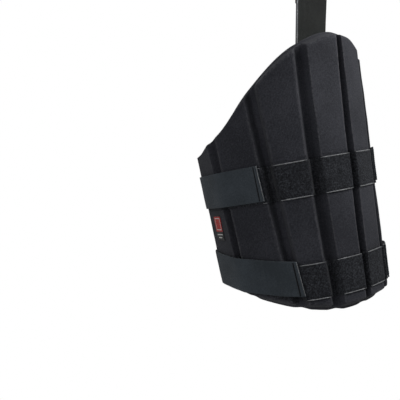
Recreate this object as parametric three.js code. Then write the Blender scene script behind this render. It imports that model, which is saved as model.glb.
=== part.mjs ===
// Thigh guard for cricket: a moulded, cloth-covered foam wrap with six raised ribs, two bands of loop
// tape across them, two elastic straps that close it behind the thigh, and a hanger for a belt.
// Millimetres. +Z runs up along the thigh, and the origin is on the thigh's axis, midway between the
// two bands. Angles are degrees round the thigh: 0 is at -Y, the front, and they grow towards +X, the
// outer side, so the wrap is open at the back.
import * as THREE from 'three';

const { lerp, clamp, degToRad, radToDeg } = THREE.MathUtils;

// The thigh that the guard is shaped to
const thighRadius = 108.5; // at the origin's level
const thighTaper = 0.04; // growth of the radius for each millimetre of height
const innerEndAngle = -127; // the wrap's end on the inner thigh
const outerEndAngle = 79; // its end behind the outer thigh

// The moulded panel
const baseThickness = 8; // foam and cloth between the ribs
const ribHeight = 12; // how far the ribs stand proud of the base
const faceCrown = 1; // bulge of a rib's face across its width
const edgeRound = 2; // drop of the softened edge round a rib's face
const endWall = 6; // slope of the first and the last rib's outer wall
const grooveFloor = 0.4; // share of a groove's mouth that its floor takes
const rimThickness = 4; // the panel pressed thin along its edge
const rimMargin = 4; // plain border between the edge and the ribs' ends
const endBevel = 5; // slope at the top and bottom ends of a rib
const cornerRadius = 25; // round corners at the wrap's two ends
const highestTop = 269; // top edge at its highest, over the outer front
const innerTop = 137; // top edge at the inner end
const innerBottom = -68; // bottom edge at the inner end
const lowestBottom = -118; // bottom edge at its lowest

// Loop tape, elastic and the hook patches between them
const bandSpacing = 142; // between the middles of the two bands
const bandWidth = 50;
const bandThickness = 1.6;
const strapWidth = 50;
const strapThickness = 2;
const upperStrapRaise = 3.5; // the upper strap sits this much above its band's middle
const hookWidth = 42;
const hookThickness = 1.2;
const bandStartShare = 0.15; // where the bands start, of the first rib's face
const bandEndShare = 0.5; // where they end, of the last rib's face
const strapRootShare = 0.2; // where the straps are sewn on, of the last rib's face
const upperStrapEndShare = 0.95; // the upper strap's free end, of the second rib's face
const lowerStrapEndShare = 0; // the lower strap's free end, of the third rib's face
const hookStartShare = 0.1; // the hook patches, of the second rib's face
const hookEndShare = 0.88;
const clearance = 0.3; // between layers that touch
const liningClearance = 0.6; // between the hanger and the faceted lining

// The hanger: elastic webbing sewn inside the top edge and folded into a loop for the belt
const hangerWidth = 50;
const hangerThickness = 2;
const hangerShift = 7; // its middle at the top edge, from the front towards the outer side
const hangerLean = 10; // degrees from the thigh's axis, towards the outer side
const hangerTuck = 35; // sewn length below the panel's top edge
const hangerFree = 55; // from the top edge to the loop's seam
const hangerBend = 10; // height above the top edge where it starts to flatten
const loopHeight = 46; // from the seam to the loop's top, inside
const loopRoom = 10; // depth of the loop, inside
const loopPinch = 12; // height over which the loop closes to its seam
const seamHeight = 10; // where the two layers are sewn together

// A woven label on the first rib
const labelWidth = 30;
const labelHeight = 38;
const labelThickness = 0.8;
const labelAcross = 0.53; // its middle, as a share of the rib's face
const labelMiddle = 19; // above the origin

// The ribs, from the inner thigh outwards. Each face's two edges are shares of the wrap's angle at
// the panel's highest and lowest levels, and bow moves both edges halfway up: less than 0 is inwards.
const ribs = [
  { fromTop: 0.068, toTop: 0.189, fromLow: 0.082, toLow: 0.250, bow: 0 },
  { fromTop: 0.252, toTop: 0.376, fromLow: 0.274, toLow: 0.419, bow: -0.004 },
  { fromTop: 0.423, toTop: 0.544, fromLow: 0.470, toLow: 0.537, bow: -0.011 },
  { fromTop: 0.584, toTop: 0.691, fromLow: 0.583, toLow: 0.663, bow: -0.009 },
  { fromTop: 0.712, toTop: 0.823, fromLow: 0.689, toLow: 0.772, bow: 0 },
  { fromTop: 0.854, toTop: 0.955, fromLow: 0.803, toLow: 0.922, bow: 0 },
];

// Top edge: rise is a share of the way from the inner top to the highest top
const topEdge = [
  { around: 0.00, rise: 0.00 },
  { around: 0.13, rise: 0.03 },
  { around: 0.20, rise: 0.10 },
  { around: 0.26, rise: 0.17 },
  { around: 0.38, rise: 0.49 },
  { around: 0.55, rise: 0.88 },
  { around: 0.69, rise: 1.00 },
  { around: 0.76, rise: 0.98 },
  { around: 0.82, rise: 0.87 },
  { around: 0.90, rise: 0.62 },
  { around: 1.00, rise: 0.48 },
];

// Bottom edge: fall is a share of the way from the inner bottom to the lowest bottom
const bottomEdge = [
  { around: 0.00, fall: 0.00 },
  { around: 0.14, fall: 0.14 },
  { around: 0.33, fall: 0.54 },
  { around: 0.47, fall: 0.85 },
  { around: 0.60, fall: 1.00 },
  { around: 0.76, fall: 0.95 },
  { around: 1.00, fall: 0.87 },
];

// The lower tapes climb with the bottom edge on the inner thigh: lift is a share of the band's width
const lowerLift = [
  { around: 0.00, band: 0.66, strap: 0.66 },
  { around: 0.11, band: 0.56, strap: 0.56 },
  { around: 0.23, band: 0.43, strap: 0.45 },
  { around: 0.33, band: 0.26, strap: 0.31 },
  { around: 0.41, band: 0.07, strap: 0.19 },
  { around: 0.46, band: 0.00, strap: 0.13 },
  { around: 1.00, band: 0.00, strap: 0.00 },
];

// Fineness of the grids
const faceSteps = 4; // columns across a rib's face
const heightSteps = 10; // rows along a rib
const tapeSteps = 2; // rows across a tape
const backSteps = 20; // columns of a strap behind the thigh
const hangerSteps = 6; // columns across the hanger
const wallColumns = 2; // a rib's foot and shoulder, on either side of its face
const marginColumns = 4; // plain columns at each end of the wrap
const columnsPerRib = faceSteps + 1 + 2 * wallColumns;
const shoulderShare = 0.25; // of a wall's slope, taken by its softened edge

// Places on and round the thigh
const wrapAngle = outerEndAngle - innerEndAngle;
const angleOf = (around) => innerEndAngle + around * wrapAngle;
const aroundOf = (angle) => (angle - innerEndAngle) / wrapAngle;
const thighAt = (z) => thighRadius + thighTaper * z;
const baseAt = (z) => thighAt(z) + baseThickness;
const arcAngle = (length, z) => radToDeg(length / baseAt(z));

function roundThigh(angle, reach, z) {
  const turn = degToRad(angle);
  return new THREE.Vector3(reach * Math.sin(turn), -reach * Math.cos(turn), z);
}

// A smooth line through one column of a table, with no overshoot between its rows
function readTable(table, column, around) {
  const last = table.length - 1;
  let row = 0;
  while (row < last - 1 && around > table[row + 1].around) row += 1;
  const rate = (k) => (table[k + 1][column] - table[k][column]) / (table[k + 1].around - table[k].around);
  const slope = (k) => {
    const before = rate(Math.max(k - 1, 0));
    const after = rate(Math.min(k, last - 1));
    return before * after <= 0 ? 0 : (2 * before * after) / (before + after);
  };
  const step = table[row + 1].around - table[row].around;
  const t = clamp((around - table[row].around) / step, 0, 1);
  const [start, end] = [table[row][column], table[row + 1][column]];
  return (
    start * (1 + 2 * t) * (1 - t) ** 2 +
    end * (3 - 2 * t) * t ** 2 +
    step * slope(row) * t * (1 - t) ** 2 -
    step * slope(row + 1) * (1 - t) * t ** 2
  );
}

// How much a round corner takes off the edge near the wrap's ends
function cornerCut(around) {
  const fromEnd = Math.min(around, 1 - around) * degToRad(wrapAngle) * baseAt(0);
  const into = clamp(cornerRadius - fromEnd, 0, cornerRadius);
  return cornerRadius - Math.sqrt(cornerRadius ** 2 - into ** 2);
}

const topAt = (around) =>
  lerp(innerTop, highestTop, readTable(topEdge, 'rise', around)) - cornerCut(around);
const bottomAt = (around) =>
  lerp(innerBottom, lowestBottom, readTable(bottomEdge, 'fall', around)) + cornerCut(around);

// The panel's outer line at one level: columns of angle and reach, from the inner end to the outer
function panelLine(z) {
  const up = (z - lowestBottom) / (highestTop - lowestBottom);
  const bowed = 1 - (2 * up - 1) ** 2;
  const faces = ribs.map((rib) => ({
    from: angleOf(lerp(rib.fromLow, rib.fromTop, up) + rib.bow * bowed),
    to: angleOf(lerp(rib.toLow, rib.toTop, up) + rib.bow * bowed),
  }));
  const floor = baseAt(z);
  const top = floor + ribHeight;
  const wallShare = (1 - grooveFloor) / 2;
  const columns = [];
  faces.forEach((face, i) => {
    const before = i === 0 ? arcAngle(endWall, z) : (face.from - faces[i - 1].to) * wallShare;
    const after = i === faces.length - 1 ? arcAngle(endWall, z) : (faces[i + 1].from - face.to) * wallShare;
    columns.push({ angle: face.from - before, reach: floor });
    columns.push({ angle: face.from - before * shoulderShare, reach: top - edgeRound });
    const start = roundThigh(face.from, top, z);
    const end = roundThigh(face.to, top, z);
    const out = roundThigh((face.from + face.to) / 2, 1, 0);
    for (let n = 0; n <= faceSteps; n += 1) {
      const across = n / faceSteps;
      const crown = faceCrown * 4 * across * (1 - across);
      const point = start.clone().lerp(end, across).addScaledVector(out, crown);
      columns.push({ angle: radToDeg(Math.atan2(point.x, -point.y)), reach: Math.hypot(point.x, point.y) });
    }
    columns.push({ angle: face.to + after * shoulderShare, reach: top - edgeRound });
    columns.push({ angle: face.to + after, reach: floor });
  });
  const margin = (end, foot) => {
    const rim = end + Math.sign(foot - end) * arcAngle(rimMargin, z);
    const angles = [end, rim, lerp(rim, foot, 1 / 3), lerp(rim, foot, 2 / 3)];
    return angles.map((angle) => ({ angle, reach: floor }));
  };
  const inner = margin(innerEndAngle, columns[0].angle);
  const outer = margin(outerEndAngle, columns[columns.length - 1].angle).reverse();
  return [...inner, ...columns, ...outer];
}

// A closed wall between two grids of points. Columns run with the angle, rows run upwards.
function wallBetween(outer, inner) {
  const columns = outer.length;
  const rows = outer[0].length;
  const points = [...outer.flat(), ...inner.flat()];
  const out = (i, j) => i * rows + j;
  const into = (i, j) => columns * rows + i * rows + j;
  const faces = [];
  const quad = (a, b, c, d) => faces.push(a, b, c, a, c, d);
  for (let i = 0; i < columns - 1; i += 1) {
    for (let j = 0; j < rows - 1; j += 1) {
      quad(out(i, j), out(i + 1, j), out(i + 1, j + 1), out(i, j + 1));
      quad(into(i, j), into(i, j + 1), into(i + 1, j + 1), into(i + 1, j));
    }
    quad(out(i, 0), into(i, 0), into(i + 1, 0), out(i + 1, 0));
    quad(out(i, rows - 1), out(i + 1, rows - 1), into(i + 1, rows - 1), into(i, rows - 1));
  }
  for (let j = 0; j < rows - 1; j += 1) {
    quad(out(0, j), out(0, j + 1), into(0, j + 1), into(0, j));
    quad(out(columns - 1, j), into(columns - 1, j), into(columns - 1, j + 1), out(columns - 1, j + 1));
  }
  const geometry = new THREE.BufferGeometry().setFromPoints(points);
  geometry.setIndex(faces);
  geometry.computeVertexNormals();
  return geometry;
}

// A line moved outwards by a distance, square to itself
function offsetLine(points, distance) {
  const square = (a, b) => new THREE.Vector2(b.y - a.y, a.x - b.x).normalize();
  return points.map((point, k) => {
    const before = square(points[Math.max(k - 1, 0)], points[Math.max(k, 1)]);
    const after = square(points[Math.min(k, points.length - 2)], points[Math.min(k + 1, points.length - 1)]);
    const middle = before.clone().add(after).normalize();
    const reach = distance / middle.dot(before);
    return new THREE.Vector3(point.x + middle.x * reach, point.y + middle.y * reach, point.z);
  });
}

// A point above the panel's outer line, at a station that counts its columns
function pointOverPanel(station, z, distance) {
  const line = panelLine(z).map((column) => roundThigh(column.angle, column.reach, z));
  const moved = offsetLine(line, distance);
  const before = clamp(Math.floor(station), 0, moved.length - 2);
  return moved[before].clone().lerp(moved[before + 1], station - before);
}

const stationOnRib = (rib, across) => marginColumns + rib * columnsPerRib + wallColumns + across * faceSteps;

function stationsBetween(from, to) {
  const stations = [from];
  for (let k = Math.floor(from) + 1; k < to; k += 1) stations.push(k);
  return [...stations, to];
}

// A thin layer laid on the panel, down into its grooves, between two stations
function layerOnPanel({ from, to, middleAt, width, under, thickness }) {
  const heights = Array.from({ length: tapeSteps + 1 }, (_, j) => (j / tapeSteps - 0.5) * width);
  const side = (distance) =>
    stationsBetween(from, to).map((station) => {
      const nearest = panelLine(middleAt(0.5))[Math.round(station)];
      const middle = middleAt(aroundOf(nearest.angle));
      return heights.map((height) => pointOverPanel(station, middle + height, distance));
    });
  return wallBetween(side(under + thickness), side(under));
}

// Heights of the two bands and the two straps
const upperMiddle = () => bandSpacing / 2;
const lowerMiddle = (around) => -bandSpacing / 2 + bandWidth * readTable(lowerLift, 'band', around);
const upperStrapMiddle = () => bandSpacing / 2 + upperStrapRaise;
const lowerStrapMiddle = (around) => -bandSpacing / 2 + bandWidth * readTable(lowerLift, 'strap', around);

// What lies between the panel and a strap
const overBand = clearance + bandThickness + clearance;
const overHook = overBand + hookThickness + clearance;

// Where the tapes start and end on the ribs
const lastRib = ribs.length - 1;
const bandFrom = stationOnRib(0, bandStartShare);
const bandTo = stationOnRib(lastRib, bandEndShare);
const strapFrom = stationOnRib(lastRib, strapRootShare);
const upperStrapTo = stationOnRib(1, upperStrapEndShare);
const lowerStrapTo = stationOnRib(2, lowerStrapEndShare);
const hookRib = 1;
const hookFrom = stationOnRib(hookRib, hookStartShare);
const hookTo = stationOnRib(hookRib, hookEndShare);

// The points of a strap's inner side before it is pulled tight, at each of its stations
function strapStops(strapTo, middleAt) {
  const lastColumn = 2 * marginColumns + ribs.length * columnsPerRib - 1;
  const onRib = (station, rib) => station >= stationOnRib(rib, 0) && station <= stationOnRib(rib, 1);
  const distanceAt = (station) => {
    if (onRib(station, hookRib)) return overHook;
    return ribs.some((_, rib) => onRib(station, rib)) ? overBand : clearance;
  };
  const onPanel = (station, turn, middle) => ({
    middle,
    place: (z) => {
      const point = pointOverPanel(station, z, distanceAt(station));
      return { angle: radToDeg(Math.atan2(point.x, -point.y)) + turn, point };
    },
  });
  const nearest = (station) => aroundOf(panelLine(middleAt(0))[Math.round(station)].angle);
  const onMargin = (station) => station < marginColumns || station > lastColumn - marginColumns;
  const touches = (station) => onMargin(station) || ribs.some((_, rib) => onRib(station, rib));
  const outer = stationsBetween(strapFrom, lastColumn)
    .filter(touches)
    .map((station) => onPanel(station, 0, middleAt(1)));
  const inner = stationsBetween(0, strapTo)
    .filter(touches)
    .map((station) => onPanel(station, 360, middleAt(clamp(nearest(station), 0, 1))));
  const behind = Array.from({ length: backSteps - 1 }, (_, k) => {
    const along = (k + 1) / backSteps;
    const angle = lerp(outerEndAngle, innerEndAngle + 360, along);
    return {
      middle: lerp(middleAt(1), middleAt(0), along),
      place: (z) => ({ angle, point: roundThigh(angle, thighAt(z) + clearance, z) }),
    };
  });
  return [...outer, ...behind, ...inner];
}

// The tight line over a row of stops, as an elastic lies that is stretched over them
function pullTight(stops) {
  const bend = (a, b, c) => (b.x - a.x) * (c.y - b.y) - (b.y - a.y) * (c.x - b.x);
  const touched = [];
  stops.forEach((stop, k) => {
    while (touched.length > 1) {
      const [a, b] = touched.slice(-2).map((n) => stops[n].point);
      if (bend(a, b, stop.point) > 0) break;
      touched.pop();
    }
    touched.push(k);
  });
  return stops.map((stop, k) => {
    const next = touched.findIndex((n) => n >= k);
    if (touched[next] === k) return stop.point;
    const a = stops[touched[next - 1]].point;
    const c = stops[touched[next]].point;
    const ray = roundThigh(stop.angle, 1, 0);
    const run = { x: c.x - a.x, y: c.y - a.y };
    const reach = (a.x * run.y - a.y * run.x) / (ray.x * run.y - ray.y * run.x);
    return new THREE.Vector3(ray.x * reach, ray.y * reach, stop.point.z);
  });
}

function strapGeometry(strapTo, middleAt) {
  const stops = strapStops(strapTo, middleAt);
  const rows = Array.from({ length: tapeSteps + 1 }, (_, j) => {
    const height = (j / tapeSteps - 0.5) * strapWidth;
    const tight = pullTight(stops.map((stop) => stop.place(stop.middle + height)));
    const raised = tight.map((point) => {
      const out = new THREE.Vector3(point.x, point.y, 0).normalize();
      return point.clone().addScaledVector(out, strapThickness);
    });
    return { tight, raised };
  });
  const grid = (side) => stops.map((_, i) => rows.map((row) => row[side][i]));
  return wallBetween(grid('raised'), grid('tight'));
}

// The panel: its ribs rise from the base between their bevelled ends
function panelGeometry() {
  const columns = panelLine(0).length;
  const outer = [];
  const inner = [];
  for (let i = 0; i < columns; i += 1) {
    const atEnd = i === 0 || i === columns - 1;
    const around = (z) => clamp(aroundOf(panelLine(z)[i].angle), 0, 1);
    const top = topAt(around(topAt(around(highestTop))));
    const bottom = bottomAt(around(bottomAt(around(lowestBottom))));
    const shoulder = rimMargin + endBevel * (1 - shoulderShare);
    const face = rimMargin + endBevel;
    const shoulderRise = 1 - edgeRound / ribHeight;
    const ends = [
      { in: 0, rise: 0, rim: true },
      { in: rimMargin, rise: 0, rim: false },
      { in: shoulder, rise: shoulderRise, rim: false },
    ];
    const rows = ends.map((end) => ({ z: bottom + end.in, rise: end.rise, rim: end.rim }));
    for (let j = 0; j <= heightSteps; j += 1) {
      rows.push({ z: lerp(bottom + face, top - face, j / heightSteps), rise: 1, rim: false });
    }
    rows.push(...ends.map((end) => ({ z: top - end.in, rise: end.rise, rim: end.rim })).reverse());
    outer.push(
      rows.map((row) => {
        const column = panelLine(row.z)[i];
        const thick = lerp(baseAt(row.z), column.reach, row.rise);
        const reach = row.rim || atEnd ? thighAt(row.z) + rimThickness : thick;
        return roundThigh(column.angle, reach, row.z);
      }),
    );
    inner.push(rows.map((row) => roundThigh(panelLine(row.z)[i].angle, thighAt(row.z), row.z)));
  }
  return wallBetween(outer, inner);
}

// The hanger's side view, as depth in from the lining and height, pushed out across its width. It
// follows the round lining where it is sewn, and is flat from the loop's seam upwards.
function hangerGeometry() {
  const edge = topAt(aroundOf(0));
  const root = edge - hangerTuck;
  const seam = edge + hangerFree;
  const front = liningClearance;
  const middle = front + hangerThickness;
  const roomRadius = loopRoom / 2;
  const outerRadius = roomRadius + hangerThickness;
  const arch = seam + loopHeight - roomRadius;
  const side = new THREE.Shape();
  side.moveTo(middle, root);
  side.lineTo(front, root);
  side.lineTo(front, edge + hangerBend);
  side.lineTo(front, seam);
  side.absarc(front + outerRadius, arch, outerRadius, Math.PI, 0, true);
  side.lineTo(front + 2 * outerRadius, seam + loopPinch);
  side.lineTo(middle + hangerThickness, seam);
  side.lineTo(middle + hangerThickness, seam - seamHeight);
  side.lineTo(middle, seam - seamHeight);
  side.lineTo(middle, edge + hangerBend);
  side.closePath();
  const room = new THREE.Path();
  room.moveTo(middle, seam);
  room.lineTo(middle + loopRoom, seam + loopPinch);
  room.absarc(middle + roomRadius, arch, roomRadius, 0, Math.PI, false);
  room.closePath();
  side.holes.push(room);
  const geometry = new THREE.ExtrudeGeometry(side, {
    depth: hangerWidth,
    steps: hangerSteps,
    curveSegments: 8,
    bevelEnabled: false,
  });
  const lean = degToRad(hangerLean);
  const place = geometry.attributes.position;
  for (let n = 0; n < place.count; n += 1) {
    const across = place.getZ(n) - hangerWidth / 2;
    const height = place.getY(n) - edge;
    const x = hangerShift + across * Math.cos(lean) + height * Math.sin(lean);
    const z = edge + height * Math.cos(lean) - across * Math.sin(lean);
    const reach = thighAt(z) - place.getX(n);
    const flat = clamp((height - hangerBend) / (hangerFree - hangerBend), 0, 1);
    place.setXYZ(n, x, -lerp(Math.sqrt(reach ** 2 - x ** 2), reach, flat), z);
  }
  geometry.computeVertexNormals();
  return geometry;
}

// The label keeps its width on a face whose width follows the ribs
function labelGeometry() {
  const faceStart = pointOverPanel(stationOnRib(0, 0), labelMiddle, 0);
  const faceEnd = pointOverPanel(stationOnRib(0, 1), labelMiddle, 0);
  const half = labelWidth / 2 / faceStart.distanceTo(faceEnd);
  return layerOnPanel({
    from: stationOnRib(0, labelAcross - half),
    to: stationOnRib(0, labelAcross + half),
    middleAt: () => labelMiddle,
    width: labelHeight,
    under: clearance,
    thickness: labelThickness,
  });
}

const bandOf = (middleAt) =>
  layerOnPanel({
    from: bandFrom,
    to: bandTo,
    middleAt,
    width: bandWidth,
    under: clearance,
    thickness: bandThickness,
  });

const hookOf = (middleAt) =>
  layerOnPanel({
    from: hookFrom,
    to: hookTo,
    middleAt,
    width: hookWidth,
    under: overBand,
    thickness: hookThickness,
  });

// Materials
const cloth = () => new THREE.MeshStandardMaterial({ color: 0x343237, roughness: 0.9, metalness: 0 });
const loopPile = () => new THREE.MeshStandardMaterial({ color: 0x222322, roughness: 1, metalness: 0 });
const elastic = () => new THREE.MeshStandardMaterial({ color: 0x2b3134, roughness: 0.85, metalness: 0 });
const hookTape = () => new THREE.MeshStandardMaterial({ color: 0x1c1d1e, roughness: 0.7, metalness: 0 });
const webbing = () => new THREE.MeshStandardMaterial({ color: 0x4a4d49, roughness: 0.85, metalness: 0 });
const woven = () => new THREE.MeshStandardMaterial({ color: 0x8c2a26, roughness: 0.8, metalness: 0 });

const guard = new THREE.Group();
function add(name, geometry, material) {
  const mesh = new THREE.Mesh(geometry, material);
  mesh.name = name;
  guard.add(mesh);
}

add('moulded_panel', panelGeometry(), cloth());
add('upper_loop_band', bandOf(upperMiddle), loopPile());
add('lower_loop_band', bandOf(lowerMiddle), loopPile());
add('upper_hook_patch', hookOf(upperStrapMiddle), hookTape());
add('lower_hook_patch', hookOf(lowerStrapMiddle), hookTape());
add('upper_strap', strapGeometry(upperStrapTo, upperStrapMiddle), elastic());
add('lower_strap', strapGeometry(lowerStrapTo, lowerStrapMiddle), elastic());
add('hanger_strap', hangerGeometry(), webbing());
add('label_patch', labelGeometry(), woven());

export default guard;
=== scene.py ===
from math import atan2, cos, degrees, hypot, pi, radians, sin

import bmesh
import bpy
from mathutils import Matrix, Vector, noise
from mathutils.bvhtree import BVHTree


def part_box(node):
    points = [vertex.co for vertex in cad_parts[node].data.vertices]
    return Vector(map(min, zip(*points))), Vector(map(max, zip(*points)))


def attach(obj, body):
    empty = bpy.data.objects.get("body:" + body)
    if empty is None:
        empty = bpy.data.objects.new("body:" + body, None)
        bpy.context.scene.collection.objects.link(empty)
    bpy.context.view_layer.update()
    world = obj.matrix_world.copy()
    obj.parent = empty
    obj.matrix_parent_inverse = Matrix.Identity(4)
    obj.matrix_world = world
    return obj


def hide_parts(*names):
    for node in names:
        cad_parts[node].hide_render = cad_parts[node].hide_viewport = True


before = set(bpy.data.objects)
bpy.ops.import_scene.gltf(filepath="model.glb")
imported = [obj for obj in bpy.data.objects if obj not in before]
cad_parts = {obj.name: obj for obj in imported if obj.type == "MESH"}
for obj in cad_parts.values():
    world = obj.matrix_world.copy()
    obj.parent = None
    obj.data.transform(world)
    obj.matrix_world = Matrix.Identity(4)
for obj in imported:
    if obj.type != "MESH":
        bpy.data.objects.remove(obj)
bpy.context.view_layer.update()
mm = 0.001

# the room: the floor lies far below, because a guard in use is held well above the ground
room = {
    "floorHeight": -0.9, "floorHalfSize": 40, "floorColour": (0.42, 0.42, 0.415, 1),
    "floorSeen": 1.0, "worldSeen": 1.0,  # brightness of both as the camera sees them
    "worldGlow": 0.33, "glowColour": (0.96, 0.98, 1, 1),
    "lampsAim": (0, 0, 0.08),
    "lights": {  # place, size and power
        "keyLight": ((0.6, -0.65, 0.62), 0.6, 9),
        "fillLight": ((-2.0, -1.1, 0.35), 1.8, 14),
        "backLight": ((0.9, 1.8, 1.2), 1.6, 6),
    },
}
photoCamera = {"place": (-0.5275, -0.8787, 0.0793), "yaw": 23.11, "pitch": -0.81,
               "roll": -9.95, "lens": 58.5, "sensor": 36}


def addCamera():
    yaw, pitch, roll = (radians(photoCamera[k]) for k in ("yaw", "pitch", "roll"))
    ahead = Vector((sin(yaw) * cos(pitch), cos(yaw) * cos(pitch), sin(pitch)))
    level = Vector((cos(yaw), -sin(yaw), 0))
    upright = level.cross(ahead)
    side = level * cos(roll) + upright * sin(roll)
    top = upright * cos(roll) - level * sin(roll)
    lens = bpy.data.cameras.new("photoCamera")
    lens.lens, lens.sensor_width = photoCamera["lens"], photoCamera["sensor"]
    cam = bpy.data.objects.new("photoCamera", lens)
    place = Vector(photoCamera["place"])
    turned = Matrix((side, top, -ahead)).transposed().to_4x4()
    cam.matrix_world = Matrix.Translation(place) @ turned
    bpy.context.collection.objects.link(cam)
    bpy.context.scene.camera = cam
    bpy.context.scene.view_settings.view_transform = "Standard"


def addLights():
    for name, (place, size, power) in room["lights"].items():
        lamp = bpy.data.lights.new(name, "AREA")
        lamp.size, lamp.energy = size, power
        ob = bpy.data.objects.new(name, lamp)
        ob.location = place
        ob.visible_camera = False
        towards = Vector(room["lampsAim"]) - Vector(place)
        ob.rotation_euler = towards.to_track_quat("-Z", "Y").to_euler()
        bpy.context.collection.objects.link(ob)


# one shader for the camera's rays and another for the light that falls on things
def splitForCamera(tree, lit, seen, surface):
    path = tree.nodes.new("ShaderNodeLightPath")
    mix = tree.nodes.new("ShaderNodeMixShader")
    tree.links.new(path.outputs["Is Camera Ray"], mix.inputs["Fac"])
    tree.links.new(lit, mix.inputs[1])
    tree.links.new(seen, mix.inputs[2])
    tree.links.new(mix.outputs[0], surface)


def addWorld():
    world = bpy.data.worlds.new("softWhite")
    world.use_nodes = True
    bpy.context.scene.world = world
    tree = world.node_tree
    tree.nodes.clear()
    glow = tree.nodes.new("ShaderNodeBackground")
    glow.inputs["Color"].default_value = room["glowColour"]
    glow.inputs["Strength"].default_value = room["worldGlow"]
    seen = tree.nodes.new("ShaderNodeBackground")
    seen.inputs["Color"].default_value = (1, 1, 1, 1)
    seen.inputs["Strength"].default_value = room["worldSeen"]
    out = tree.nodes.new("ShaderNodeOutputWorld")
    splitForCamera(tree, glow.outputs[0], seen.outputs[0], out.inputs["Surface"])


def addFloor():
    pale = bpy.data.materials.new("paleFloor")
    pale.use_nodes = True
    tree = pale.node_tree
    matt = tree.nodes["Principled BSDF"]
    matt.inputs["Base Color"].default_value = room["floorColour"]
    matt.inputs["Roughness"].default_value = 1
    bright = tree.nodes.new("ShaderNodeEmission")
    bright.inputs["Strength"].default_value = room["floorSeen"]
    splitForCamera(tree, matt.outputs[0], bright.outputs[0],
                   tree.nodes["Material Output"].inputs["Surface"])
    bm = bmesh.new()
    bmesh.ops.create_grid(bm, x_segments=2, y_segments=2, size=room["floorHalfSize"])
    bmesh.ops.translate(bm, vec=(0, 0, room["floorHeight"]), verts=bm.verts)
    meshObject("paleFloor", bm, pale)


def meshObject(name, bm, material, sharpFrom=50):
    mesh = bpy.data.meshes.new(name)
    for face in bm.faces:
        face.smooth = True
    for edge in bm.edges:
        if len(edge.link_faces) == 2 and edge.calc_face_angle(0) > radians(sharpFrom):
            edge.smooth = False
    bm.to_mesh(mesh)
    bm.free()
    mesh.materials.append(material)
    ob = bpy.data.objects.new(name, mesh)
    bpy.context.collection.objects.link(ob)
    return ob


# small helpers for the node trees
def calc(tree, operation, a, b=None, c=None):
    node = tree.nodes.new("ShaderNodeMath")
    node.operation = operation
    for socket, value in zip(node.inputs, (a, b, c)):
        if isinstance(value, (int, float)):
            socket.default_value = value
        elif value is not None:
            tree.links.new(value, socket)
    return node.outputs[0]


def clip(tree, value):
    return calc(tree, "MINIMUM", calc(tree, "MAXIMUM", value, 0.0), 1.0)


def wave(tree, value, turns):
    return calc(tree, "SINE", calc(tree, "MULTIPLY", value, turns))


def splitVector(tree, vector):
    node = tree.nodes.new("ShaderNodeSeparateXYZ")
    tree.links.new(vector, node.inputs[0])
    return node.outputs["X"], node.outputs["Y"]


def stretched(tree, vector, scale):
    node = tree.nodes.new("ShaderNodeMapping")
    node.inputs["Scale"].default_value = scale
    tree.links.new(vector, node.inputs["Vector"])
    return node.outputs[0]


def meshValue(tree, name):
    node = tree.nodes.new("ShaderNodeAttribute")
    node.attribute_name = name
    return node.outputs["Fac"]


def noiseNode(tree, vector, scale, detail=3.0, rough=0.55):
    node = tree.nodes.new("ShaderNodeTexNoise")
    tree.links.new(vector, node.inputs["Vector"])
    if isinstance(scale, (int, float)):
        node.inputs["Scale"].default_value = scale
    else:
        tree.links.new(scale, node.inputs["Scale"])
    node.inputs["Detail"].default_value = detail
    node.inputs["Roughness"].default_value = rough
    return node.outputs["Fac"]


def mixColour(tree, factor, dark, light):
    node = tree.nodes.new("ShaderNodeMix")
    node.data_type = "RGBA"
    tree.links.new(factor, node.inputs["Factor"])
    for socket, value in zip((node.inputs["A"], node.inputs["B"]), (dark, light)):
        if isinstance(value, tuple):
            socket.default_value = (*value, 1)
        else:
            tree.links.new(value, socket)
    return node.outputs["Result"]


def rampOf(tree, value, stops):
    node = tree.nodes.new("ShaderNodeValToRGB")
    tree.links.new(value, node.inputs[0])
    ramp = node.color_ramp
    while len(ramp.elements) < len(stops):
        ramp.elements.new(0.5)
    for element, (place, shade) in zip(ramp.elements, stops):
        element.position = place
        element.color = (shade, shade, shade, 1)
    return node.outputs["Color"]


def bumpFrom(tree, height, distance, strength, below=None):
    node = tree.nodes.new("ShaderNodeBump")
    node.inputs["Distance"].default_value = distance
    node.inputs["Strength"].default_value = strength
    tree.links.new(height, node.inputs["Height"])
    if below is not None:
        tree.links.new(below, node.inputs["Normal"])
    return node.outputs["Normal"]


# node groups that several materials use
effectLook = {"yarnWobble": 160.0, "fineSpeckle": 480.0, "edgeBreakup": 260.0,
              "edgeSpread": 5.0, "edgeHold": -1.7}


def newGroup(name, inputs, output):
    group = bpy.data.node_groups.new(name, "ShaderNodeTree")
    for label, kind, value in inputs:
        socket = group.interface.new_socket(name=label, in_out="INPUT", socket_type=kind)
        if value is not None:
            socket.default_value = value
    group.interface.new_socket(name=output, in_out="OUTPUT", socket_type="NodeSocketFloat")
    given = group.nodes.new("NodeGroupInput")
    result = group.nodes.new("NodeGroupOutput")
    return group, given.outputs, result.inputs[0]


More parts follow.
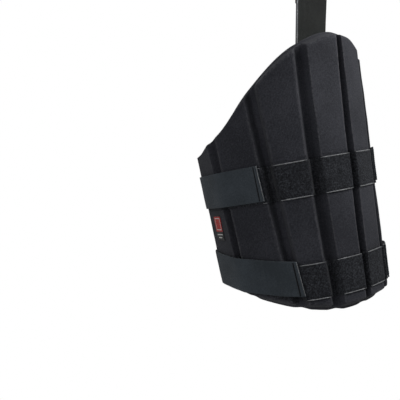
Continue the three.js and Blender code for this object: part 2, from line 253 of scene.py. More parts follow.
def makeYarnWeave():
    # yarns along U and V in threads per metre; Slant turns a plain weave into a twill
    group, given, out = newGroup("yarnWeave", [
        ("Vector", "NodeSocketVector", None), ("Along", "NodeSocketFloat", 900.0),
        ("Across", "NodeSocketFloat", 900.0), ("Slant", "NodeSocketFloat", 0.0),
        ("Weft Share", "NodeSocketFloat", 0.4), ("Sway", "NodeSocketFloat", 0.9)], "Height")
    x, y = splitVector(group, given["Vector"])
    wobble = noiseNode(group, given["Vector"], effectLook["yarnWobble"], 2.0)
    sway = calc(group, "MULTIPLY", calc(group, "SUBTRACT", wobble, 0.5), given["Sway"])
    u = calc(group, "MULTIPLY", x, given["Along"])
    v = calc(group, "MULTIPLY", y, given["Across"])
    warp = calc(group, "ADD", calc(group, "MULTIPLY_ADD", u, given["Slant"], v), sway)
    warpWave = wave(group, warp, 2 * pi)
    weftWave = wave(group, calc(group, "ADD", u, sway), 2 * pi)
    rounded = calc(group, "SUBTRACT", 1.0, calc(group, "MULTIPLY", warpWave, warpWave))
    weft = calc(group, "MULTIPLY", weftWave, given["Weft Share"])
    group.links.new(calc(group, "ADD", rounded, weft), out)
    return group


def makeClothDrift():
    # slow change of tone, as dye, dust and handling leave it
    group, given, out = newGroup("clothDrift", [
        ("Vector", "NodeSocketVector", None), ("Scale", "NodeSocketFloat", 14.0),
        ("Speckle", "NodeSocketFloat", 0.3)], "Mask")
    slow = noiseNode(group, given["Vector"], given["Scale"], 4.0)
    fine = noiseNode(group, given["Vector"], effectLook["fineSpeckle"], 3.0, 0.7)
    speck = calc(group, "MULTIPLY", calc(group, "SUBTRACT", fine, 0.5), given["Speckle"])
    group.links.new(calc(group, "ADD", slow, speck), out)
    return group


def makeRubbedEdge():
    # the mesh's own rub value, broken up so that a lightened edge isn't a drawn line; the
    # lightening stands for edge wear and is also painted highlight where edges stand out
    group, given, out = newGroup("wornAndHighlitEdge", [
        ("Rub", "NodeSocketFloat", 0.0), ("Vector", "NodeSocketVector", None),
        ("Breakup", "NodeSocketFloat", 60.0)], "Mask")
    patch = noiseNode(group, given["Vector"], given["Breakup"], 4.0)
    spread = calc(group, "MULTIPLY_ADD", patch, effectLook["edgeSpread"],
                  effectLook["edgeHold"])
    lift = calc(group, "MULTIPLY", given["Rub"], spread)
    group.links.new(clip(group, lift), out)
    return group


yarnWeave, clothDrift, wornAndHighlitEdge = makeYarnWeave(), makeClothDrift(), makeRubbedEdge()


def placeGroup(tree, group, **values):
    node = tree.nodes.new("ShaderNodeGroup")
    node.node_tree = group
    for label, value in values.items():
        socket = node.inputs[label.replace("_", " ")]
        if isinstance(value, (int, float)):
            socket.default_value = value
        else:
            tree.links.new(value, socket)
    return node.outputs[0]


def startMaterial(name, look):
    material = bpy.data.materials.new(name)
    material.use_nodes = True
    tree = material.node_tree
    shader = tree.nodes["Principled BSDF"]
    shader.inputs["Specular IOR Level"].default_value = look["gloss"]
    shader.inputs["Sheen Weight"].default_value = look["sheen"]
    shader.inputs["Sheen Roughness"].default_value = look.get("sheenRough", 0.5)
    coords = tree.nodes.new("ShaderNodeTexCoord")
    return material, tree, shader, coords.outputs["Object"], coords.outputs["UV"]


def finishMaterial(tree, shader, colour, rough, normal):
    tree.links.new(colour, shader.inputs["Base Color"])
    tree.links.new(rough, shader.inputs["Roughness"])
    tree.links.new(normal, shader.inputs["Normal"])


# the spacer mesh inside the panel: rows of small dark holes
liningLook = {"across": 310.0, "upwards": 248.0, "dark": (0.008, 0.008, 0.010),
              "light": (0.045, 0.046, 0.052)}


def addLiningMesh(tree, flat, outside):
    x, y = splitVector(tree, flat)
    across = wave(tree, x, liningLook["across"] * 2 * pi)
    upwards = wave(tree, y, liningLook["upwards"] * 2 * pi)
    hole = rampOf(tree, calc(tree, "MULTIPLY", across, upwards), [(0.25, 0.0), (0.55, 1.0)])
    mesh = mixColour(tree, hole, liningLook["light"], liningLook["dark"])
    return mixColour(tree, meshValue(tree, "lining"), outside, mesh)


# cloth drawn in by the seams beside a loop band: a dip at the seam and short ripples off it
puckerLook = {"seamAt": 25 * mm, "reach": 9 * mm, "ripples": (150.0, 420.0, 1.0),
              "dip": 1.0, "height": 0.0014}


def addPucker(tree, flat, below):
    look = puckerLook
    beside = calc(tree, "SUBTRACT", meshValue(tree, "fromBand"), look["seamAt"])
    far = calc(tree, "DIVIDE", beside, look["reach"])
    near = clip(tree, calc(tree, "SUBTRACT", 1.0, far))
    pattern = noiseNode(tree, stretched(tree, flat, look["ripples"]), 1.0, 2.0)
    ripples = calc(tree, "SUBTRACT", pattern, 0.5)
    dip = calc(tree, "MULTIPLY", calc(tree, "POWER", near, 3.0), -look["dip"])
    height = calc(tree, "MULTIPLY_ADD", calc(tree, "MULTIPLY", ripples, near), 2.0, dip)
    return bumpFrom(tree, height, look["height"], 1.0, below)


# every woven cloth here: two tones, yarns, soft drift and lightened edges, which are partly
# wear and partly painted highlight
def wovenCloth(name, look):
    material, tree, shader, solid, flat = startMaterial(name, look)
    weave = placeGroup(tree, yarnWeave, Vector=flat, Along=look["along"],
                       Across=look["across"], Slant=look["slant"], Weft_Share=look["weft"],
                       Sway=look["sway"])
    drift = placeGroup(tree, clothDrift, Vector=solid, Scale=look["driftScale"],
                       Speckle=look["speckle"])
    wornAndHighlit = placeGroup(tree, wornAndHighlitEdge, Rub=meshValue(tree, "rubAndHighlight"), Vector=solid,
                      Breakup=effectLook["edgeBreakup"])
    tone = rampOf(tree, drift, [(0.3, 0.0), (0.72, 1.0)])
    base = mixColour(tree, tone, look["dark"], look["light"])
    gaps = rampOf(tree, weave, [(0.1, look["gaps"]), (0.9, 1.0)])
    threads = mixColour(tree, gaps, look["dark"], base)
    # edges that stand out take the pale edge colour: partly wear, partly painted highlight
    share = calc(tree, "MULTIPLY", wornAndHighlit, look["wearAndHighlight"])
    colour = mixColour(tree, share, threads, look["wornAndHighlit"])
    lumps = noiseNode(tree, solid, look["crumpleScale"], 5.0)
    crumple = bumpFrom(tree, lumps, look["crumple"], 0.6)
    if look.get("panelSkin"):
        colour = addLiningMesh(tree, flat, colour)
        crumple = addPucker(tree, flat, crumple)
    rough = calc(tree, "MULTIPLY_ADD", drift, -0.2, look["rough"])
    normal = bumpFrom(tree, weave, look["relief"], 0.8, crumple)
    finishMaterial(tree, shader, colour, rough, normal)
    return material


# brushed loop pile: a thicket of tiny loops, mottled where it is matted
def loopPile(name, look):
    material, tree, shader, solid, flat = startMaterial(name, look)
    cells = tree.nodes.new("ShaderNodeTexVoronoi")
    cells.inputs["Scale"].default_value = look["loops"]
    tree.links.new(solid, cells.inputs["Vector"])
    fuzz = noiseNode(tree, solid, look["fuzz"], 6.0, 0.7)
    matted = noiseNode(tree, solid, look["matting"], 4.0, 0.6)
    height = calc(tree, "ADD", calc(tree, "MULTIPLY", cells.outputs["Distance"], 0.3), fuzz)
    flecks = noiseNode(tree, solid, look["flecks"], 3.0, 0.7)
    tone = calc(tree, "MULTIPLY", rampOf(tree, matted, [(0.3, 0.45), (0.7, 0.9)]),
                rampOf(tree, flecks, [(0.42, 0.0), (0.68, 1.0)]))
    lumps = bumpFrom(tree, matted, look["lump"], 0.8)
    finishMaterial(tree, shader, mixColour(tree, tone, look["dark"], look["light"]),
                   calc(tree, "MULTIPLY_ADD", matted, -0.15, 1.0),
                   bumpFrom(tree, height, look["relief"], 1.0, lumps))
    return material


# in each look, the worn colour and the wear share lighten edges that stand out: partly wear,
# partly painted highlight
clothLook = {  # the moulded panel's skin, charcoal black with a trace of purple
    "panelSkin": True, "dark": (0.0160, 0.0167, 0.0218), "light": (0.0400, 0.0412, 0.0512),
    "wornAndHighlit": (0.14, 0.14, 0.15), "along": 560.0, "across": 280.0, "slant": 0.5,
    "weft": 0.7, "sway": 0.9, "gaps": 0.3, "relief": 0.00015, "driftScale": 11.0,
    "speckle": 1.4, "wearAndHighlight": 0.28, "rough": 0.92, "gloss": 0.22, "sheen": 0.07,
    "sheenRough": 0.45, "crumple": 0.0016, "crumpleScale": 34.0}
elasticLook = {  # slate grey elastic with lengthwise ribs
    "dark": (0.027, 0.034, 0.041), "light": (0.066, 0.080, 0.096),
    "wornAndHighlit": (0.14, 0.15, 0.16), "along": 1400.0, "across": 520.0, "slant": 0.0,
    "weft": 0.22, "sway": 0.25, "gaps": 0.0, "relief": 0.00025, "driftScale": 16.0,
    "speckle": 0.9, "wearAndHighlight": 0.2, "rough": 0.85, "gloss": 0.25, "sheen": 0.1,
    "sheenRough": 0.4, "crumple": 0.0008, "crumpleScale": 40.0}
webbingLook = {  # the hanger's greener grey, ribbed from side to side; both tones are darkened overall as painted shade, for the shade the hanger sits in
    "dark": (0.0145, 0.0158, 0.0148), "light": (0.037, 0.040, 0.038),
    "wornAndHighlit": (0.16, 0.16, 0.155), "along": 500.0, "across": 1100.0, "slant": 0.0,
    "weft": 1.0, "sway": 0.4, "gaps": 0.0, "relief": 0.0003, "driftScale": 18.0,
    "speckle": 0.6, "wearAndHighlight": 0.25, "rough": 0.85, "gloss": 0.2, "sheen": 0.04,
    "sheenRough": 0.4, "crumple": 0.0006, "crumpleScale": 40.0}
selvedgeLook = {  # pale yarn: the bands' edges, the straps' cut ends, the hanger's rolled edge
    "dark": (0.13, 0.133, 0.138), "light": (0.37, 0.378, 0.39), "wornAndHighlit": (0.58, 0.59, 0.6),
    "along": 900.0, "across": 900.0, "slant": 1.0, "weft": 0.4, "sway": 0.9, "gaps": 0.0,
    "relief": 0.0002, "driftScale": 90.0, "speckle": 1.6, "wearAndHighlight": 0.3, "rough": 0.8,
    "gloss": 0.25, "sheen": 0.1, "sheenRough": 0.4, "crumple": 0.0004,
    "crumpleScale": 90.0}
threadLook = {  # black sewing thread, near black so that the straps' seam strips also serve as painted shade in the seam's groove
    "dark": (0.004, 0.004, 0.005), "light": (0.012, 0.012, 0.014),
    "wornAndHighlit": (0.03, 0.03, 0.03), "along": 2500.0, "across": 2500.0, "slant": 1.0,
    "weft": 0.2, "sway": 0.9, "gaps": 0.0, "relief": 0.0001, "driftScale": 80.0,
    "speckle": 0.6, "wearAndHighlight": 0.2, "rough": 0.75, "gloss": 0.2, "sheen": 0.0,
    "crumple": 0.0002, "crumpleScale": 200.0}
pileLook = {  # the loop bands' brushed face
    "dark": (0.0095, 0.010, 0.012), "light": (0.060, 0.064, 0.074), "gloss": 0.12,
    "sheen": 0.08, "sheenRough": 0.35, "loops": 900.0, "fuzz": 1100.0, "flecks": 440.0,
    "matting": 60.0, "relief": 0.0007, "lump": 0.0006}
hookLook = {  # hook tape under the straps' free ends
    "dark": (0.006, 0.006, 0.007), "light": (0.02, 0.02, 0.022), "gloss": 0.4,
    "sheen": 0.0, "loops": 900.0, "fuzz": 1200.0, "flecks": 700.0, "matting": 200.0,
    "relief": 0.0006, "lump": 0.0003}

panelCloth = wovenCloth("panelCloth", clothLook)
strapElastic = wovenCloth("strapElastic", elasticLook)
hangerWebbing = wovenCloth("hangerWebbing", webbingLook)
paleSelvedge = wovenCloth("paleSelvedge", selvedgeLook)
blackThread = wovenCloth("blackThread", threadLook)
bandPile = loopPile("bandPile", pileLook)
hookTape = loopPile("hookTape", hookLook)
print("materials ready")


# the cone that the guard goes round, as in the CAD, and metres of cloth for each radian
hollowLook = {"radius": 108.5 * mm, "taper": 0.04, "clothRadius": 0.125}
cushionLook = {"slow": 0.9 * mm, "slowScale": 14.0, "fine": 0.35 * mm, "fineScale": 45.0,
               "arc": 0.12, "fineShift": (3, 7, 1),
               "liftFrom": 3 * mm, "liftOver": 4 * mm}  # out from the hollow


# how a point lies round the guard's axis: angle from the front, growing outwards, in radians
def turnOf(co, cut=-pi):
    turn = atan2(co.x, -co.y)
    return turn + 2 * pi if turn < cut else turn


def reachOf(co):
    return hypot(co.x, co.y)


def hollowRadius(z):
    return hollowLook["radius"] + hollowLook["taper"] * z


def clamped(value):
    return min(1, max(0, value))


def found(places):
    return [place for place in places if place]


# the padding's soft unevenness; every layer over the panel follows the same lift
def softLift(co):
    c = cushionLook
    place = Vector((turnOf(co) * c["arc"], co.z, 0.3))
    return (noise.noise(place * c["slowScale"]) * c["slow"]
            + noise.noise(place * c["fineScale"] + Vector(c["fineShift"])) * c["fine"])


# the outer side moves by liftOf, and the side that faces the hollow stays
def pushOut(bm, liftOf):
    start, over = cushionLook["liftFrom"], cushionLook["liftOver"]
    for vert in bm.verts:
        outside = clamped((reachOf(vert.co) - hollowRadius(vert.co.z) - start) / over)
        lift = liftOf(vert.co) * outside
        flat = Vector((vert.co.x, vert.co.y, 0))
        vert.co += flat.normalized() * lift


def mergedCopy(nodeName):
    bm = bmesh.new()
    bm.from_mesh(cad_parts[nodeName].data)
    bmesh.ops.remove_doubles(bm, verts=bm.verts, dist=0.01 * mm)
    bmesh.ops.join_triangles(bm, faces=bm.faces, angle_face_threshold=radians(60),
                             angle_shape_threshold=radians(80))
    return bm


# a smooth mesh from a coarse cage: its borders are creased, kept and only then rounded
def softened(bm, look):
    borderAngle, ridgeAngle = radians(look.get("borderAngle", 60)), radians(18)
    firm = look.get("firm", 0.0)
    layers = bm.edges.layers.float
    crease = layers.get("crease_edge") or layers.new("crease_edge")
    for edge in bm.edges:
        bend = edge.calc_face_angle(0) if len(edge.link_faces) == 2 else 0
        edge[crease] = 1 if bend > borderAngle else firm if bend > ridgeAngle else 0
    cage = bpy.data.meshes.new("cage")
    bm.to_mesh(cage)
    bm.free()
    ob = bpy.data.objects.new("cage", cage)
    bpy.context.collection.objects.link(ob)
    smooth = ob.modifiers.new("smooth", "SUBSURF")
    smooth.levels = smooth.render_levels = look["levels"]
    graph = bpy.context.evaluated_depsgraph_get()
    mesh = bpy.data.meshes.new_from_object(ob.evaluated_get(graph))
    bm = bmesh.new()
    bm.from_mesh(mesh)
    bpy.data.objects.remove(ob)
    bpy.data.meshes.remove(cage)
    bpy.data.meshes.remove(mesh)
    borders = [e for e in bm.edges if len(e.link_faces) == 2
               and e.calc_face_angle(0) > borderAngle]
    bmesh.ops.bevel(bm, geom=borders, offset=look["edge"], affect="EDGES", segments=2,
                    profile=0.5, material=-1)
    return bm


# how much a point stands out from its neighbours, kept on the mesh as its rub value; the cloth
# is lightened there, partly as edge wear and partly as painted highlight
def markRub(bm, full):
    rubAndHighlight = bm.verts.layers.float.new("rubAndHighlight")
    bm.normal_update()
    for vert in bm.verts:
        bend = 0
        for edge in vert.link_edges:
            away = edge.other_vert(vert).co - vert.co
            bend -= away.dot(vert.normal) / max(away.length, 0.1 * mm)
        vert[rubAndHighlight] = clamped(bend / max(1, len(vert.link_edges)) / full)


# cloth coordinates in metres: round the axis and up it, or along a wall where there is one
def layCloth(bm, cut=-pi):
    uv = bm.loops.layers.uv.new("cloth")
    for face in bm.faces:
        centre = face.calc_center_median()
        turn = turnOf(centre, cut)
        radial = Vector((sin(turn), -cos(turn), 0))
        around = Vector((cos(turn), sin(turn), 0))
        out, along = abs(face.normal.dot(radial)), abs(face.normal.dot(around))
        for loop in face.loops:
            co = loop.vert.co
            arc = turnOf(co, cut) * hollowLook["clothRadius"]
            if out >= along and out >= abs(face.normal.z):
                loop[uv].uv = (arc, co.z)
            elif along > abs(face.normal.z):
                loop[uv].uv = (reachOf(co), co.z)
            else:
                loop[uv].uv = (arc, reachOf(co))


# the nearest surface seen from outside at a turn and a height, with its way out
def castRound(tree, turn, z):
    outward, start = Vector((sin(turn), -cos(turn), 0)), 0.3
    hit, normal = tree.ray_cast(outward * start + Vector((0, 0, z)), -outward)[:2]
    return (hit, normal) if hit else None


panelLook = {"rowLength": 15 * mm, "upright": 0.85, "levels": 2, "borderAngle": 75,
             "edge": 1.1 * mm, "firm": 0.55, "rubAndHighlightFull": 0.25, "liningWithin": 0.5 * mm,
             "sharpFrom": 70}
lowerBorderLook = {"step": 2.8 * mm, "reach": 12 * mm, "below": -20 * mm, "probe": 24 * mm,
                   "ribFoot": 8 * mm, "ribFull": 16 * mm, "blend": 3, "window": radians(2)}


def halveLongRows(bm):
    rows = []
    for edge in bm.edges:
        length, rise = edge.calc_length(), abs(edge.verts[0].co.z - edge.verts[1].co.z)
        if length > panelLook["rowLength"] and rise > panelLook["upright"] * length:
            rows.append(edge)
    bmesh.ops.subdivide_edges(bm, edges=rows, cuts=1, use_grid_fill=True)


# the lower border hangs a little lower under each rib and draws in at each groove
def stepLowerBorder(bm):
    look = lowerBorderLook
    bm.normal_update()
    tree = BVHTree.FromBMesh(bm)
    border = sorted((turnOf(v.co), v.co.z) for v in bm.verts if v.normal.z < -0.6)
    lowest, ribs = {}, {}  # for each whole degree
    for degree in range(-180, 181):
        near = [z for turn, z in border if abs(turn - radians(degree)) < look["window"]]
        if not near:
            continue
        lowest[degree] = min(near)
        hit = castRound(tree, radians(degree), min(near) + look["probe"])
        if hit:
            tall = reachOf(hit[0]) - hollowRadius(hit[0].z) - look["ribFoot"]
            ribs[degree] = clamped(tall / (look["ribFull"] - look["ribFoot"]))
    spread = range(-look["blend"], look["blend"] + 1)
    for vert in bm.verts:
        turn = degrees(turnOf(vert.co))
        low, part = int(turn // 1), turn % 1
        if vert.co.z > look["below"] or low not in lowest:
            continue
        near = [(ribs.get(low + n, 0.5), ribs.get(low + n + 1, 0.5)) for n in spread]
        rib = sum(a + (b - a) * part for a, b in near) / len(near)
        fade = max(0, 1 - max(0, vert.co.z - lowest[low]) / look["reach"])
        vert.co.z -= look["step"] * (rib - 0.5) * fade


def makePanel():
    bm = mergedCopy("moulded_panel")
    halveLongRows(bm)
    bm = softened(bm, panelLook)
    stepLowerBorder(bm)
    pushOut(bm, softLift)
    markRub(bm, panelLook["rubAndHighlightFull"])
    lining = bm.verts.layers.float.new("lining")
    fromBand = bm.verts.layers.float.new("fromBand")
    middles = [middleOf(name, -pi) for name in ("upper_loop_band", "lower_loop_band")]
    for vert in bm.verts:
        inside = hollowRadius(vert.co.z) + panelLook["liningWithin"]
        vert[lining] = 1 if reachOf(vert.co) < inside else 0
        turn = turnOf(vert.co)
        vert[fromBand] = min(abs(vert.co.z - middle(turn)) for middle in middles)
    layCloth(bm)
    panel = meshObject("mouldedPanel", bm, panelCloth, panelLook["sharpFrom"])
    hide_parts("moulded_panel")
    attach(panel, "root")
    print("panel", len(panel.data.polygons))


# a closed cord along a row of places, each a point and the way out of the surface there
def addCord(bm, row, halfWide, halfHigh, sides=10, taper=1, narrow=0.0):
    last, tip = len(row) - 1, 0.3
    grid = bmesh.ops.create_grid(bm, x_segments=last, y_segments=sides, size=1)["verts"]
    for vert in grid:
        n = min(last, max(0, round((vert.co.x + 1) / 2 * last)))
        point, out = row[n]
        ahead = (row[min(n + 1, last)][0] - row[max(n - 1, 0)][0]).normalized()
        side = ahead.cross(out).normalized()
        a = (vert.co.y + 1) * pi
        slim = min(1, tip + (1 - tip) * min(n, last - n) / taper)
        wide = halfWide * (1 - narrow * n / last)
        vert.co = point + (side * cos(a) * wide + out * sin(a) * halfHigh) * slim
    bmesh.ops.remove_doubles(bm, verts=grid, dist=0.001 * mm)
    ends = [e for e in bm.edges if len(e.link_faces) == 1]
    bmesh.ops.holes_fill(bm, edges=ends, sides=sides + 2)
    bmesh.ops.recalc_face_normals(bm, faces=bm.faces)


# places at an even pitch along a row, each a point, its way out and its way ahead
def evenRow(row, pitch):
    spots, left = [], pitch / 2
    for (a, outA), (b, outB) in zip(row, row[1:]):
        length, ahead = (b - a).length, (b - a).normalized()
        while left < length:
            t = left / length
            spots.append((a.lerp(b, t), outA.lerp(outB, t).normalized(), ahead))
            left += pitch
        left -= length
    return spots


stitchLook = {"pitch": 3.2 * mm, "seamPitch": 3 * mm, "thread": 0.32 * mm,
              "halfLength": 0.36, "proud": 0.2}  # shares of the pitch and of the thread


def addStitches(bm, row, pitch=stitchLook["pitch"], thread=stitchLook["thread"]):
    for point, out, ahead in evenRow(row, pitch):
        side = ahead.cross(out).normalized()
        turn = Matrix((ahead, side, out)).transposed().to_4x4()
        size = Matrix.Diagonal((pitch * stitchLook["halfLength"], thread, thread, 1))
        place = Matrix.Translation(point + out * thread * stitchLook["proud"])
        bmesh.ops.create_uvsphere(bm, u_segments=6, v_segments=5, radius=1,
                                  matrix=place @ turn @ size)


# the six lines of a sewn box with a cross in it, each from one corner to another
def crossedBox(left, right, low, high):
    a, b, c, d = (left, low), (right, low), (left, high), (right, high)
    return (a, b), (c, d), (a, c), (b, d), (a, d), (c, b)


def placesAlong(start, end, steps=40):
    return [[a + (b - a) * n / steps for a, b in zip(start, end)] for n in range(steps + 1)]


def trimPiece(name, bm, material, cut=-pi):
    layCloth(bm, cut)
    piece = meshObject(name, bm, material)
    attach(piece, "root")


# a band's or strap's middle height at each turn round the axis, read from its CAD solid
def middleOf(nodeName, cut):
    places = [(turnOf(v.co, cut), v.co.z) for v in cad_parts[nodeName].data.vertices]
    first, last = min(turn for turn, z in places), max(turn for turn, z in places)
    window, steps = radians(7), 120
    table = []
    for n in range(steps + 1):
        turn = first + (last - first) * n / steps
        near = [z for t, z in places if abs(t - turn) < window]
        table.append((min(near) + max(near)) / 2 if near else 0)

    def lookUp(turn):
        place = min(max((turn - first) / (last - first), 0), 0.9999) * steps
        low = int(place)
        return table[low] + (table[low + 1] - table[low]) * (place - low)
    return lookUp


# where a strap's free end is, at any height: its CAD solid's last six corners
def freeEndOf(nodeName, cut):
    spots = {(round(v.co.x, 5), round(v.co.y, 5), round(v.co.z, 5))
             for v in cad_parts[nodeName].data.vertices}
    turns = sorted(((turnOf(Vector(spot), cut), spot[2]) for spot in spots))[-6:]
    pairs = sorted((z, turn) for turn, z in turns)
    (z0, t0), (z1, t1) = pairs[0], pairs[-1]
    return lambda z: t0 + (t1 - t0) * (z - z0) / (z1 - z0)


bandLook = {"levels": 2, "borderAngle": 84, "edge": 0.35 * mm, "firm": 0.8,
            "pileHeight": 0.3 * mm, "pileScale": 420.0, "selvedgeAt": 24.4 * mm,
            "seamAt": 21.5 * mm, "litFaceAbove": 20.5 * mm, "cord": 0.75 * mm,
            "cordHeight": 0.8, "tips": 6, "underStrap": radians(2)}


def makeBand(nodeName, name):
    look = bandLook
    bm = softened(mergedCopy(nodeName), look)
    pushOut(bm, lambda co: softLift(co) + look["pileHeight"]
            * noise.noise(co * look["pileScale"]))
    layCloth(bm)
    bm.normal_update()
    tree = BVHTree.FromBMesh(bm)
    turns = sorted(turnOf(v.co) for v in bm.verts)
    band = meshObject(name, bm, bandPile)
    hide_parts(nodeName)
    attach(band, "root")

    # pale selvedges where the tape's edges lie bare over the ribs, and dark stitches
    # throughout; the pale edges are drawn only on the rib faces and thinned at their ends, and
    # left out in the grooves as painted shade
    middle = middleOf(nodeName, -pi)
    strapEnd = freeEndOf(nodeName.replace("loop_band", "strap"), strapLook["cut"])
    cords, seams = bmesh.new(), bmesh.new()
    steps, inset, shortest = 900, 4, 10
    for side in (-1, 1):
        rows, seam = [[]], []
        for n in range(inset, steps + 1 - inset):
            turn = turns[0] + (turns[-1] - turns[0]) * n / steps
            z = middle(turn) + side * look["selvedgeAt"]
            hit = castRound(tree, turn, z)
            bare = turn > strapEnd(z) - 2 * pi - look["underStrap"]
            # painted shade: the pale edge is kept only where the surface stands out as a rib
            # face and is left out in the grooves
            if hit and bare and reachOf(hit[0]) > hollowRadius(z) + look["litFaceAbove"]:
                rows[-1].append(hit)
            else:
                rows.append([])
            seam.append(castRound(tree, turn, middle(turn) + side * look["seamAt"]))
        for row in rows:
            if len(row) > shortest:
                addCord(cords, row[::3], look["cord"], look["cord"] * look["cordHeight"], 8,
                        look["tips"])
        addStitches(seams, found(seam))
    trimPiece(name + "Selvedge", cords, paleSelvedge)
    trimPiece(name + "Stitches", seams, blackThread)
    print(name, len(band.data.polygons))


hookPatchLook = {"levels": 3, "edge": 0.2 * mm}


def makeHookTape(nodeName, name):
    bm = softened(mergedCopy(nodeName), hookPatchLook)
    pushOut(bm, softLift)
    layCloth(bm)
    tape = meshObject(name, bm, hookTape)
    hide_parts(nodeName)
    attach(tape, "root")
    print(name, len(tape.data.polygons))


strapLook = {"levels": 3, "edge": 0.4 * mm, "width": 50 * mm, "cut": radians(20),
             "radius": 0.128, "rubAndHighlightFull": 0.5, "hem": 6.2 * mm, "skew": 0.3,
             "hemHalf": 0.42, "fold": 1.1 * mm, "cutEdge": 0.4 * mm,
             "cutEdgeHeight": 0.72 * mm, "seam": 1.0 * mm, "seamHeight": 0.35 * mm,
             "hemPitch": 2.8 * mm, "hemThread": 0.5 * mm, "boxLength": 30 * mm,
             "boxInset": 4 * mm,
             "rows": {  # each from the end inwards, in from the sides, and share of the hem
                 "fold": (0.8 * mm, 0.3 * mm, 0.45), "cutEdge": (0.7 * mm, 0.1 * mm, 0),
                 "seam": (0.9 * mm, 0.6 * mm, 1), "stitches": (0.9 * mm, 1.5 * mm, 1)}}


def makeStrap(nodeName, name):
    look, cut = strapLook, strapLook["cut"]
    bm = softened(mergedCopy(nodeName), look)
    middle = middleOf(nodeName, cut)
    pushOut(bm, softLift)
    markRub(bm, look["rubAndHighlightFull"])
    uv = bm.loops.layers.uv.new("cloth")
    for face in bm.faces:
        for loop in face.loops:
            turn = turnOf(loop.vert.co, cut)
            loop[uv].uv = (turn * hollowLook["clothRadius"], loop.vert.co.z - middle(turn))
    bm.normal_update()
    tree = BVHTree.FromBMesh(bm)
    strap = meshObject(name, bm, strapElastic)
    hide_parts(nodeName)
    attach(strap, "root")

    # the free end is folded back and sewn, and its cut edge is pale; the seam is a flat
    # near-black strip, painted shade for the groove the seam sinks into
    endAt = freeEndOf(nodeName, cut)
    lastHeight = middle(cut + 2 * pi)
    centre = middle(endAt(lastHeight))
    half = look["width"] / 2

    def rowAt(kind, steps=40):
        inside, margin, share = look["rows"][kind]
        row = []
        for n in range(steps + 1):
            z = centre + (half - margin) * (2 * n / steps - 1)
            deep = inside + share * look["hem"] * (1 - look["skew"] * n / steps)
            row.append(castRound(tree, endAt(z) - deep / look["radius"], z))
        return found(row)
    hem, edge, seam = bmesh.new(), bmesh.new(), bmesh.new()
    addCord(hem, rowAt("fold"), look["hem"] * look["hemHalf"], look["fold"], 14, 1,
            look["skew"])
    addCord(edge, rowAt("cutEdge"), look["cutEdge"], look["cutEdgeHeight"], 8)
    # painted shade: a flat strip of near-black thread along the seam stands for the shaded
    # groove there
    addCord(seam, rowAt("seam"), look["seam"], look["seamHeight"], 8)
    addStitches(seam, rowAt("stitches"), look["hemPitch"], look["hemThread"])

    # the sewn end, a box with a cross, behind the outer side
    sewnAt = min(turnOf(v.co, cut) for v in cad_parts[nodeName].data.vertices)
    near, far = (sewnAt + look[k] / look["radius"] for k in ("boxInset", "boxLength"))
    tall = half - look["boxInset"]
    for start, end in crossedBox(near, far, -tall, tall):
        line = placesAlong(start, end)
        hits = [castRound(tree, turn, middle(turn) + z) for turn, z in line]
        addStitches(seam, found(hits), stitchLook["seamPitch"])
    trimPiece(name + "Hem", hem, strapElastic, cut)
    trimPiece(name + "CutEdge", edge, paleSelvedge, cut)
    trimPiece(name + "Stitches", seam, blackThread, cut)
    print(name, len(strap.data.polygons))


hangerLook = {"levels": 2, "edge": 0.4 * mm, "rubAndHighlightFull": 0.5, "lean": radians(10),
              "width": 50 * mm, "shift": 7 * mm, "edgeOverRoot": 38.8 * mm,
              "roll": 1.2 * mm, "rollHeight": 0.8, "inset": 4 * mm,
              # heights above the panel's top edge
              "rollFrom": -34 * mm, "rollTo": 95 * mm, "boxFrom": -32 * mm,
              "boxTo": -8 * mm, "seamRows": (48 * mm, 53 * mm)}


def makeHanger():
    look = hangerLook
    bm = softened(mergedCopy("hanger_strap"), look)
    markRub(bm, look["rubAndHighlightFull"])
    uv = bm.loops.layers.uv.new("cloth")
    lean = look["lean"]
    for face in bm.faces:
        lying = abs(face.normal.z) > 0.7
        for loop in face.loops:
            co = loop.vert.co
            up = co.y if lying else co.x * sin(lean) + co.z * cos(lean)
            loop[uv].uv = (co.x * cos(lean) - co.z * sin(lean), up)
    bm.normal_update()
    tree = BVHTree.FromBMesh(bm)
    hanger = meshObject("hangerStrap", bm, hangerWebbing)
    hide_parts("hanger_strap")
    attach(hanger, "root")

    # places on it: across its width, up from the panel's top edge, on its front or its back
    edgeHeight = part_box("hanger_strap")[0][2] + look["edgeOverRoot"]

    def line(start, end, side):
        row = []
        for across, up in placesAlong(start, end):
            x = look["shift"] + across * cos(lean) + up * sin(lean)
            z = edgeHeight + up * cos(lean) - across * sin(lean)
            outside = Vector((x, side * 0.4, z))
            hit, normal = tree.ray_cast(outside, Vector((0, -side, 0)))[:2]
            row.append((hit, normal) if hit else None)
        return found(row)
    half, back, front = look["width"] / 2, 1, -1
    roll, seam = bmesh.new(), bmesh.new()
    rolled = look["roll"] - half
    addCord(roll, line((rolled, look["rollFrom"]), (rolled, look["rollTo"]), front),
            look["roll"], look["roll"] * look["rollHeight"])
    wide = half - look["inset"]
    for start, end in crossedBox(-wide, wide, look["boxFrom"], look["boxTo"]):
        addStitches(seam, line(start, end, back), stitchLook["seamPitch"])
    for up in look["seamRows"]:
        for side in (front, back):
            addStitches(seam, line((-wide, up), (wide, up), side), stitchLook["seamPitch"])
    trimPiece("hangerRolledEdge", roll, paleSelvedge)
    trimPiece("hangerStitches", seam, blackThread)
    print("hanger", len(hanger.data.polygons))


labelLook = {"levels": 3, "edge": 0.2 * mm, "gloss": 0.3, "sheen": 0.1,
             "red": (0.62, 0.04, 0.035), "thread": (0.85, 0.83, 0.8),
             "ground": (0.02, 0.02, 0.022), "size": (30 * mm, 38 * mm, 1),
             "along": 1300.0, "across": 1700.0,
             # left, right, low and high, as shares of the patch
             "field": (0.05, 0.95, 0.36, 0.96),
             "frameOutside": (0.16, 0.84, 0.42, 0.9), "frameInside": (0.2, 0.8, 0.45, 0.87),
             "upperStripe": (0.14, 0.86, 0.22, 0.26), "lowerStripe": (0.26, 0.74, 0.1, 0.14)}


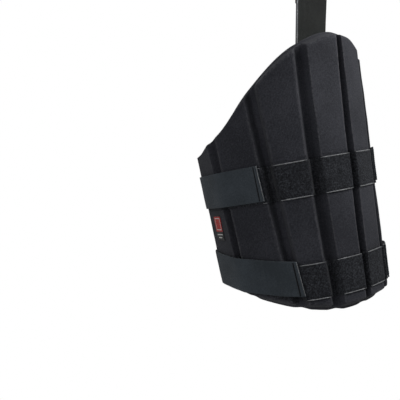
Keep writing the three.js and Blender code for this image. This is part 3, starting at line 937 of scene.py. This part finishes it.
# a plain generic patch: red field over a black foot, pale frame and two pale stripes
def labelWeave():
    look = labelLook
    material, tree, shader, solid, flat = startMaterial("labelWeave", look)
    u, v = splitVector(tree, flat)

    def between(value, low, high):
        return calc(tree, "MULTIPLY", calc(tree, "GREATER_THAN", value, low),
                    calc(tree, "LESS_THAN", value, high))

    def patch(kind):
        left, right, low, high = look[kind]
        return calc(tree, "MULTIPLY", between(v, low, high), between(u, left, right))
    ground = mixColour(tree, patch("field"), look["ground"], look["red"])
    stripes = calc(tree, "ADD", patch("upperStripe"), patch("lowerStripe"))
    frameLines = calc(tree, "SUBTRACT", patch("frameOutside"), patch("frameInside"))
    pale = calc(tree, "MINIMUM", calc(tree, "ADD", stripes, frameLines), 1.0)
    weave = placeGroup(tree, yarnWeave, Vector=stretched(tree, flat, look["size"]),
                       Along=look["along"], Across=look["across"], Slant=0.5, Weft_Share=0.5)
    shaded = tree.nodes.new("ShaderNodeMix")
    shaded.data_type, shaded.blend_type = "RGBA", "MULTIPLY"
    shaded.inputs["Factor"].default_value = 1
    tree.links.new(mixColour(tree, pale, ground, look["thread"]), shaded.inputs["A"])
    tree.links.new(rampOf(tree, weave, [(0.0, 0.55), (1.0, 1.0)]), shaded.inputs["B"])
    finishMaterial(tree, shader, shaded.outputs["Result"],
                   calc(tree, "MULTIPLY_ADD", weave, -0.15, 0.8),
                   bumpFrom(tree, weave, 0.0002, 0.8))
    return material


def makeLabel():
    bm = softened(mergedCopy("label_patch"), labelLook)
    low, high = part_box("label_patch")
    turns = [turnOf(v.co) for v in bm.verts]
    start, width, height = min(turns), max(turns) - min(turns), high[2] - low[2]
    pushOut(bm, softLift)
    uv = bm.loops.layers.uv.new("cloth")
    for face in bm.faces:
        for loop in face.loops:
            co = loop.vert.co
            loop[uv].uv = ((turnOf(co) - start) / width, (co.z - low[2]) / height)
    label = meshObject("labelPatch", bm, labelWeave())
    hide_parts("label_patch")
    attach(label, "root")
    print("label", len(label.data.polygons))


addCamera()
addLights()
addWorld()
addFloor()
print("room ready")
makePanel()
makeBand("upper_loop_band", "upperLoopBand")
makeBand("lower_loop_band", "lowerLoopBand")
makeHookTape("upper_hook_patch", "upperHookTape")
makeHookTape("lower_hook_patch", "lowerHookTape")
makeStrap("upper_strap", "upperStrap")
makeStrap("lower_strap", "lowerStrap")
makeHanger()
makeLabel()
